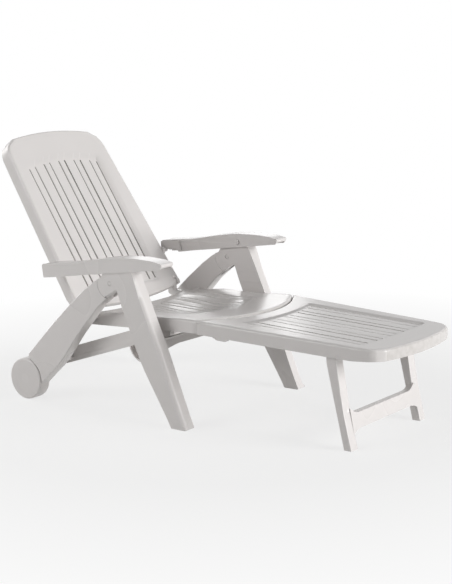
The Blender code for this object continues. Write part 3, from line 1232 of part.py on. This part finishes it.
def main():
    for side in (1, -1):
        front_leg(side)
        plain_pin("apex_pin_" + hand(side), APEX_X, APEX_Z, side, APEX_PIN_RADIUS,
                  LEG_INNER + GAP, LEG_OUTER - GAP)
        rear_leg(side)
        wheel(side)
        brace(side)
        armrest(side)
    stretcher()
    seat()
    backrest()
    footrest()
    footrest_leg()
    centre_on_floor(assemble())


main()
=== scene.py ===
"""Looks of the folding deck chair: moulded white resin in plain studio light.

Lengths are in metres, angles in degrees and powers in watts, unless said otherwise.
"""
import json
import math

import bmesh
import bpy
from mathutils import Matrix, Vector


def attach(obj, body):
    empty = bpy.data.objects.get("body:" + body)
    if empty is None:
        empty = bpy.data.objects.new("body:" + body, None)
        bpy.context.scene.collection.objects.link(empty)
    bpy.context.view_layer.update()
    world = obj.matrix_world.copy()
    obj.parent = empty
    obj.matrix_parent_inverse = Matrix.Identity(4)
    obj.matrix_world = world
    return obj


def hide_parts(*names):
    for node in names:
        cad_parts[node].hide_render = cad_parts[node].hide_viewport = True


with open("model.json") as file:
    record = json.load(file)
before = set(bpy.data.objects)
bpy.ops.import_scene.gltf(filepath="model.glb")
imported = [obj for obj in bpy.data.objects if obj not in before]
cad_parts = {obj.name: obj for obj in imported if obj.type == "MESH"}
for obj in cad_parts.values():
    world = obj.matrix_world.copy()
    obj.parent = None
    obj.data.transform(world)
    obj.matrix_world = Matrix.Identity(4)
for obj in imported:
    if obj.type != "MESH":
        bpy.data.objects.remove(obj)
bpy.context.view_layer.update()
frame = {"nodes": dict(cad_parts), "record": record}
NODES = frame["nodes"]
RECORD = frame["record"]
SCENE = bpy.context.scene
SLOT_OF = {row["node"]: row["material_slot"] for row in RECORD["subparts"]}
BODY_OF = {
    name: body
    for body, names in RECORD["behaviour"]["bodies"].items()
    for name in names
}

# Camera, as fitted to points of the photograph. The picture's height and the focal
# length are in pixels, and the sensor, which lies along that height, in millimetres.
PICTURE_HEIGHT = 584.0
FOCAL_PIXELS = 1410.05
SENSOR = 36.0
CAMERA_PLACE = Vector((2.91877, -3.76385, 1.29176))
CAMERA_YAW = 52.5607
CAMERA_PITCH = 10.6936
CAMERA_ROLL = -0.8056
CAMERA_REACH = 100.0

# Colours, as written on the shaders
WHITE = (1.0, 1.0, 1.0)
RESIN = (0.700, 0.672, 0.660)
RESIN_SHADE = (0.676, 0.650, 0.636)
PIN_RESIN = (0.660, 0.635, 0.622)
RUBBED = (0.770, 0.745, 0.735)
# Painted shade: a darker colour laid in patches on the walls of the slots, where shade falls
# inside them
SLOT_WALL_SHADE = (0.520, 0.497, 0.475)
FLOOR = (0.82, 0.82, 0.81)

# Noises of the resin: scale, detail and roughness. The grain's scale is each resin's own.
FLOW_MARKS = (3.5, 1.0, 0.40)
# The next noise spreads the painted shade on the slots' walls in patches
SLOT_SHADE_PATCHES = (60.0, 2.0, 0.50)
RUBBED_PATCHES = (26.0, 3.0, 0.60)
GLOSS_SMEARS = (6.0, 1.0, 0.40)
SLOW_WAVES = (4.0, 1.0, 0.50)
GRAIN_DETAIL = (2.0, 0.50)

# The range of each noise that is used, and what the range's two ends give: how far the
# painted shade covers the slots' walls, the least wear of edges, and the change of the roughness
FLOW_RANGE = (0.25, 0.75)
SLOT_SHADE_RANGE = (0.30, 0.70)
SLOT_SHADE_COVER = (0.35, 0.80)
PATCH_RANGE = (0.35, 0.70)
LEAST_WEAR = 0.10
SMEAR_RANGE = (0.25, 0.75)
SMEAR_CHANGE = (-0.03, 0.04)

# Relief and gloss of the resin
WAVE_STRENGTH = 0.40
WAVE_HEIGHT = 0.0010
GRAIN_STRENGTH = 0.30
RESIN_IOR = 1.50

# Between shader nodes, in the node editor's own units
NODE_STEP = 200.0

# Meshes: points closer than the distance merge, faces that meet at less than the flat
# angle join into one, and edges below the smooth angle are shaded round, the wider one
# on the slotted panels. With a weight above 50, large faces lead the normals.
MERGE_DISTANCE = 0.00002
FLAT_ANGLE = 0.4
SMOOTH_ANGLE = 38.0
PANEL_SMOOTH_ANGLE = 52.0
NORMAL_WEIGHT = 80

# Faces narrower than this are the strips of a rounded edge, which wear first
EDGE_WIDTH = 0.0045

# The way that each slotted panel faces. The backrest leans back from upright.
RECLINE = math.radians(33.8)
PANEL_FRONTS = {
    "backrest_panel": Vector((math.cos(RECLINE), 0.0, math.sin(RECLINE))),
    "seat_panel": Vector((0.0, 0.0, 1.0)),
    "footrest_panel": Vector((0.0, 0.0, 1.0)),
}

# Slots: half the width of their field, and the round of their lips
SLOT_FIELD_HALF = 0.185
SLOT_LIP = 0.0030
LIP_SEGMENTS = 3
LIP_PROFILE = 0.5
SHORTEST_LIP = 0.003

# Cosines that tell a slot's faces and edges from others. A lip runs across the chair's
# width (y) by less than the first, its top faces the panel's front by more than the
# second, and its side faces the width by more than the third. A slot's wall faces the
# panel's front by less than the last.
LIP_TO_WIDTH = 0.3
TOP_TO_FRONT = 0.8
SIDE_TO_WIDTH = 0.9
WALL_TO_FRONT = 0.4

# Front legs: the round of the outer front edge, and the smaller round by which it takes
# off less beside the outer face. Rings are cut at shares of the round, and it grows in
# above the foot and fades out below the head, between two heights each.
LEG_ROUND = 0.0150
LEG_ROUND_SPARED = 0.0040
LEG_RING_SHARES = (0.30, 0.48, 0.70, 1.0)
LEG_ROUND_FOOT = (0.006, 0.018)
LEG_ROUND_HEAD = (0.415, 0.455)
CUT_DISTANCE = 0.00001

# A face whose normal points forward (x) by more than this is one of a leg's front faces
FRONT_FACING = 0.1

# Floor and background. The floor turns white between two distances from the origin,
# and below the chair it stays part grey, so that the shadow shows.
FLOOR_HALF = 30.0
FLOOR_DROP = 0.0005
FADE_REACH = (0.9, 2.2)
FADE_WHITE = (0.72, 1.0)
WORLD_LEVEL = 0.17

# Lamps: place, aim, size and power
LAMPS = {
    "front_light": ((15.0, 3.6, 3.2), (-0.2, 0.0, 0.5), 8.0, 2600.0),
    "side_light": ((-3.4, -5.6, 3.0), (-0.3, 0.0, 0.6), 4.0, 190.0),
    "back_light": ((-6.5, -0.6, 2.4), (0.0, 0.0, 0.4), 4.0, 130.0),
    "window_light": ((-4.6, 5.2, 2.4), (0.0, 0.0, 0.4), 2.6, 32.0),
}


# Shader nodes

def node(tree, kind, **inputs):
    """A new shader node, set beside the others, with its inputs set by name."""
    item = tree.nodes.new(kind)
    item.location = (NODE_STEP * len(tree.nodes), 0.0)
    for name, value in inputs.items():
        item.inputs[name.replace("_", " ")].default_value = value
    return item


def noise(tree, coords, scale, detail, roughness):
    item = node(tree, "ShaderNodeTexNoise", Scale=scale, Detail=detail, Roughness=roughness)
    tree.links.new(coords, item.inputs["Vector"])
    return item.outputs["Fac"]


def ramp(tree, value, reach, result):
    """Map a range of a value onto another range."""
    ends = {"From_Min": reach[0], "From_Max": reach[1], "To_Min": result[0], "To_Max": result[1]}
    item = node(tree, "ShaderNodeMapRange", **ends)
    tree.links.new(value, item.inputs["Value"])
    return item.outputs["Result"]


def combined(tree, operation, first, second):
    """Two values put together by a math operation."""
    item = node(tree, "ShaderNodeMath")
    item.operation = operation
    tree.links.new(first, item.inputs[0])
    tree.links.new(second, item.inputs[1])
    return item.outputs["Value"]


def blend(tree, amount, first, last):
    """Mix two colours, each a socket or a colour, by an amount."""
    item = node(tree, "ShaderNodeMix")
    item.data_type = "RGBA"
    tree.links.new(amount, item.inputs["Factor"])
    for colour, socket in ((first, item.inputs["A"]), (last, item.inputs["B"])):
        if isinstance(colour, tuple):
            socket.default_value = (*colour, 1.0)
        else:
            tree.links.new(colour, socket)
    return item.outputs["Result"]


def marked(tree, name):
    """A mark that the piece's faces carry, from mark_faces."""
    item = node(tree, "ShaderNodeAttribute")
    item.attribute_name = name
    return item.outputs["Fac"]


def bumped(tree, height, strength, distance):
    """A bump node, fed with a height."""
    item = node(tree, "ShaderNodeBump", Strength=strength, Distance=distance)
    tree.links.new(height, item.inputs["Height"])
    return item


def mixed_surface(tree, amount, first, last, output):
    """Mix the shaders of two nodes by an amount, and send them to the output node."""
    item = node(tree, "ShaderNodeMixShader")
    for k, source in enumerate((amount, first.outputs[0], last.outputs[0])):
        tree.links.new(source, item.inputs[k])
    tree.links.new(item.outputs[0], output.inputs["Surface"])


def seen_directly(tree):
    """One for rays from the camera and those that gloss or glass sends on, else zero."""
    path = node(tree, "ShaderNodeLightPath")
    total = path.outputs["Is Camera Ray"]
    for name in ("Is Glossy Ray", "Is Transmission Ray"):
        total = combined(tree, "MAXIMUM", total, path.outputs[name])
    return total


# Materials

def resin(name, roughness, colour=RESIN, grain=0.00006, grain_scale=900.0, wear=0.5):
    """Moulded resin: cloudy flow marks, fine grain, painted shade on slot walls, rubbed edges.

    The grain is its relief's height, and the wear is how rubbed an edge gets at most.
    """
    material = bpy.data.materials.new(name)
    material.use_nodes = True
    tree = material.node_tree
    shader = tree.nodes["Principled BSDF"]
    shader.inputs["IOR"].default_value = RESIN_IOR
    coords = node(tree, "ShaderNodeTexCoord").outputs["Object"]

    cloud = ramp(tree, noise(tree, coords, *FLOW_MARKS), FLOW_RANGE, (0.0, 1.0))
    # Painted shade: the slots' walls are darkened in patches, as the shade inside the slots
    wall_shade_amount = ramp(tree, noise(tree, coords, *SLOT_SHADE_PATCHES), SLOT_SHADE_RANGE, SLOT_SHADE_COVER)
    patches = ramp(tree, noise(tree, coords, *RUBBED_PATCHES), PATCH_RANGE, (LEAST_WEAR, wear))
    painted_wall_shade = combined(tree, "MULTIPLY", marked(tree, "slot_wall"), wall_shade_amount)
    rubbed = combined(tree, "MULTIPLY", marked(tree, "edge_strip"), patches)
    base = blend(tree, cloud, RESIN_SHADE, colour)
    base = blend(tree, painted_wall_shade, base, SLOT_WALL_SHADE)
    base = blend(tree, rubbed, base, RUBBED)
    tree.links.new(base, shader.inputs["Base Color"])

    smears = noise(tree, coords, *GLOSS_SMEARS)
    ends = [roughness + change for change in SMEAR_CHANGE]
    tree.links.new(ramp(tree, smears, SMEAR_RANGE, ends), shader.inputs["Roughness"])

    waves = bumped(tree, noise(tree, coords, *SLOW_WAVES), WAVE_STRENGTH, WAVE_HEIGHT)
    fine = noise(tree, coords, grain_scale, *GRAIN_DETAIL)
    relief = bumped(tree, fine, GRAIN_STRENGTH, grain)
    tree.links.new(waves.outputs["Normal"], relief.inputs["Normal"])
    tree.links.new(relief.outputs["Normal"], shader.inputs["Normal"])
    return material


LOOKS = {
    "leg_resin": resin("leg_resin_look", roughness=0.28),
    "panel_resin": resin("panel_resin_look", roughness=0.22, grain=0.00005, grain_scale=700.0),
    "armrest_resin": resin("armrest_resin_look", roughness=0.25),
    "brace_resin": resin("brace_resin_look", roughness=0.34),
    "pin_resin": resin("pin_resin_look", roughness=0.40, colour=PIN_RESIN),
    "wheel_resin": resin("wheel_resin_look", roughness=0.38, grain=0.00012, wear=0.8),
    "cap_resin": resin("cap_resin_look", roughness=0.30),
}


# Pieces

def is_slot_lip(edge, front):
    """Whether an edge runs along a slot, between the panel's top and the slot's side."""
    if len(edge.link_faces) != 2 or edge.calc_length() < SHORTEST_LIP:
        return False
    start, end = (vert.co for vert in edge.verts)
    side, top = sorted((face.normal for face in edge.link_faces), key=front.dot)
    return (
        abs((start + end).y / 2) < SLOT_FIELD_HALF
        and abs((end - start).normalized().y) < LIP_TO_WIDTH
        and top.dot(front) > TOP_TO_FRONT
        and abs(side.y) > SIDE_TO_WIDTH
    )


def soften_slots(bm, front):
    """Round the long upper edges of a panel's slots."""
    bm.normal_update()
    lips = [edge for edge in bm.edges if is_slot_lip(edge, front)]
    bmesh.ops.bevel(
        bm, geom=lips, affect="EDGES", offset_type="OFFSET", offset=SLOT_LIP,
        segments=LIP_SEGMENTS, profile=LIP_PROFILE, clamp_overlap=False)


def quarter(reach, radius):
    """How far a quarter round of that radius stays off the corner's other face."""
    reach = min(max(reach, 0.0), radius)
    return radius - math.sqrt(max(radius ** 2 - (radius - reach) ** 2, 0.0))


def eased(value, low, high):
    """From 0 at low to 1 at high, level at both ends."""
    t = min(max((value - low) / (high - low), 0.0), 1.0)
    return t * t * (3 - 2 * t)


def cut_ring(bm, place, normal):
    """Cut edges all around where a plane crosses the mesh."""
    everything = list(bm.verts) + list(bm.edges) + list(bm.faces)
    bmesh.ops.bisect_plane(
        bm, geom=everything, dist=CUT_DISTANCE, plane_co=place, plane_no=normal)


def forward_way(vert):
    """The way that a point's front faces look, as seen from the side: zero if it has none."""
    way = Vector()
    for face in vert.link_faces:
        flat = Vector((face.normal.x, 0.0, face.normal.z))
        if flat.x > FRONT_FACING:
            way += flat.normalized()
    return way.normalized()


def round_front(bm):
    """Give a front leg's outer front edge its round: cut rings there and draw them back."""
    outer = max(abs(vert.co.y) for vert in bm.verts)
    side = math.copysign(1.0, sum(vert.co.y for vert in bm.verts))
    for share in LEG_RING_SHARES:
        cut_ring(bm, (0, side * (outer - share * LEG_ROUND), 0), (0, 1, 0))
    for level in LEG_ROUND_FOOT:
        cut_ring(bm, (0, 0, level), (0, 0, 1))
    bm.normal_update()
    for vert in bm.verts:
        height = vert.co.z
        depth = outer - abs(vert.co.y)
        step = quarter(depth, LEG_ROUND) - quarter(depth, LEG_ROUND_SPARED)
        fade = eased(height, *LEG_ROUND_FOOT) * (1 - eased(height, *LEG_ROUND_HEAD))
        vert.co -= forward_way(vert) * (step * fade)


def mark_faces(bm, front):
    """Mark the strips of rounded edges, and the walls of a slotted panel's slots."""
    bm.normal_update()
    strip = bm.faces.layers.float.new("edge_strip")
    wall = bm.faces.layers.float.new("slot_wall")
    for face in bm.faces:
        width = 2 * face.calc_area() / face.calc_perimeter()
        in_field = abs(face.calc_center_median().y) < SLOT_FIELD_HALF
        # A slot's wall is marked for the painted shade that the resin lays on it
        if front and in_field and abs(face.normal.dot(front)) < WALL_TO_FRONT:
            face[wall] = 1.0
        elif width < EDGE_WIDTH:
            face[strip] = 1.0


def shade_round(mesh, angle):
    """Shade a mesh round below an angle, without the normals that the CAD piece brings."""
    mesh.normals_split_custom_set([(0.0, 0.0, 0.0)] * len(mesh.loops))
    mesh.shade_smooth()
    mesh.set_sharp_from_angle(angle=math.radians(angle))


def moulding(name):
    """A finer copy of a CAD piece: its flat faces are whole, and its round ones smooth."""
    front = PANEL_FRONTS.get(name)
    mesh = NODES[name].data.copy()
    mesh.name = name + "_moulding"
    bm = bmesh.new()
    bm.from_mesh(mesh)
    bmesh.ops.remove_doubles(bm, verts=bm.verts, dist=MERGE_DISTANCE)
    bmesh.ops.dissolve_limit(
        bm, angle_limit=math.radians(FLAT_ANGLE), verts=bm.verts, edges=bm.edges)
    if name.startswith("front_leg"):
        round_front(bm)
    if front:
        soften_slots(bm, front)
    mark_faces(bm, front)
    bm.to_mesh(mesh)
    bm.free()
    shade_round(mesh, PANEL_SMOOTH_ANGLE if front else SMOOTH_ANGLE)
    mesh.materials.clear()
    mesh.materials.append(LOOKS[SLOT_OF[name]])

    obj = bpy.data.objects.new(name + "_moulding", mesh)
    SCENE.collection.objects.link(obj)
    normals = obj.modifiers.new("flat faces stay flat", "WEIGHTED_NORMAL")
    normals.mode = "FACE_AREA"
    normals.weight = NORMAL_WEIGHT
    normals.keep_sharp = True
    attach(obj, BODY_OF[name])
    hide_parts(name)


# Floor, background, light and camera

def studio_floor():
    """A pale floor that keeps the chair's shadow and turns white further out."""
    mesh = bpy.data.meshes.new("floor")
    bm = bmesh.new()
    bmesh.ops.create_grid(bm, x_segments=1, y_segments=1, size=FLOOR_HALF)
    bm.to_mesh(mesh)
    bm.free()
    obj = bpy.data.objects.new("studio_floor", mesh)
    SCENE.collection.objects.link(obj)
    obj.location = (0, 0, -FLOOR_DROP)

    material = bpy.data.materials.new("floor_look")
    material.use_nodes = True
    tree = material.node_tree
    tree.nodes.remove(tree.nodes["Principled BSDF"])
    matt = node(tree, "ShaderNodeBsdfDiffuse", Color=(*FLOOR, 1.0))
    white = node(tree, "ShaderNodeEmission", Color=(*WHITE, 1.0), Strength=1.0)
    place = node(tree, "ShaderNodeNewGeometry").outputs["Position"]
    distance = node(tree, "ShaderNodeVectorMath")
    distance.operation = "LENGTH"
    tree.links.new(place, distance.inputs[0])
    fade = ramp(tree, distance.outputs["Value"], FADE_REACH, FADE_WHITE)
    amount = combined(tree, "MULTIPLY", fade, seen_directly(tree))
    mixed_surface(tree, amount, matt, white, tree.nodes["Material Output"])
    mesh.materials.append(material)


def studio_world():
    """Soft light from all around, in front of a white background."""
    world = bpy.data.worlds.new("studio")
    world.use_nodes = True
    SCENE.world = world
    tree = world.node_tree
    around = tree.nodes["Background"]
    around.inputs["Color"].default_value = (*WHITE, 1.0)
    around.inputs["Strength"].default_value = WORLD_LEVEL
    behind = node(tree, "ShaderNodeBackground", Color=(*WHITE, 1.0), Strength=1.0)
    mixed_surface(tree, seen_directly(tree), around, behind, tree.nodes["World Output"])


def lamp(name, place, aim, size, power):
    """A square lamp at a place, turned to its aim."""
    data = bpy.data.lights.new(name, "AREA")
    data.shape = "SQUARE"
    data.size = size
    data.energy = power
    obj = bpy.data.objects.new(name, data)
    SCENE.collection.objects.link(obj)
    obj.location = place
    obj.rotation_euler = (Vector(aim) - Vector(place)).to_track_quat("-Z", "Y").to_euler()


def photo_camera():
    """The photograph's camera, which looks along its yaw and down by its pitch."""
    yaw, pitch, roll = (math.radians(a) for a in (CAMERA_YAW, CAMERA_PITCH, CAMERA_ROLL))
    forward = Vector((
        -math.cos(yaw) * math.cos(pitch), math.sin(yaw) * math.cos(pitch), -math.sin(pitch)))
    level_right = Vector((math.sin(yaw), math.cos(yaw), 0.0))
    level_up = level_right.cross(forward)
    right = level_right * math.cos(roll) + level_up * math.sin(roll)
    up = level_up * math.cos(roll) - level_right * math.sin(roll)
    data = bpy.data.cameras.new("photo_camera")
    data.sensor_width = SENSOR
    data.lens = FOCAL_PIXELS * SENSOR / PICTURE_HEIGHT
    data.clip_end = CAMERA_REACH
    obj = bpy.data.objects.new("photo_camera", data)
    SCENE.collection.objects.link(obj)
    turn = Matrix((right, up, -forward)).transposed().to_4x4()
    obj.matrix_world = Matrix.Translation(CAMERA_PLACE) @ turn
    SCENE.camera = obj


# The scene

for each in sorted(NODES):
    moulding(each)
studio_floor()
studio_world()
for each, settings in LAMPS.items():
    lamp(each, *settings)
photo_camera()
SCENE.view_settings.view_transform = "Standard"
